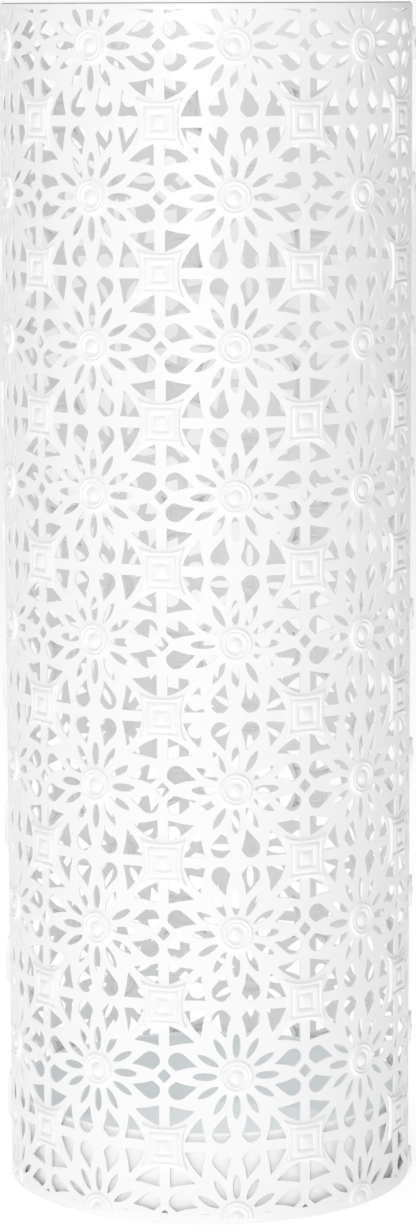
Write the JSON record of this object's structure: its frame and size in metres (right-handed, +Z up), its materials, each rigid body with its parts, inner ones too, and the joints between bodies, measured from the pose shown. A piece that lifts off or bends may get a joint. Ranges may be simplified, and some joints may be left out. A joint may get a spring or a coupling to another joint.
{
  "type": "umbrella stand",
  "caption": "Tall cylindrical umbrella stand of pierced and embossed sheet steel with a lift-out drip tray.",
  "frame": {"origin": "on the floor at the centre of the stand", "axes": "+Z up along the axis of the cylinder, front towards -Y, where a column of medallions is centred"},
  "size_m": [0.165, 0.165, 0.481],
  "materials": {
    "white_sheet": "satin white powder coat",
    "rim_steel": "bare rolled steel, slightly brown",
    "white_hoop": "satin white powder coat",
    "white_base": "satin white powder coat",
    "tray_plastic": "pale blue-grey, fine matt",
    "pad_rubber": "pale grey, matt"
  },
  "bodies": {
    "stand": {"lattice_sheet": "white_sheet", "top_hoop": "rim_steel", "bottom_hoop": "white_hoop", "base_disc": "white_base", "foot_pad_1": "pad_rubber", "foot_pad_2": "pad_rubber", "foot_pad_3": "pad_rubber", "foot_pad_4": "pad_rubber"},
    "tray": {"drip_tray": "tray_plastic"}
  },
  "joints": [
    {"name": "tray_lift", "type": "slide", "parent": "stand", "child": "tray", "axis": [0, 0, 1], "range_m": [0, 0.5]}
  ]
}
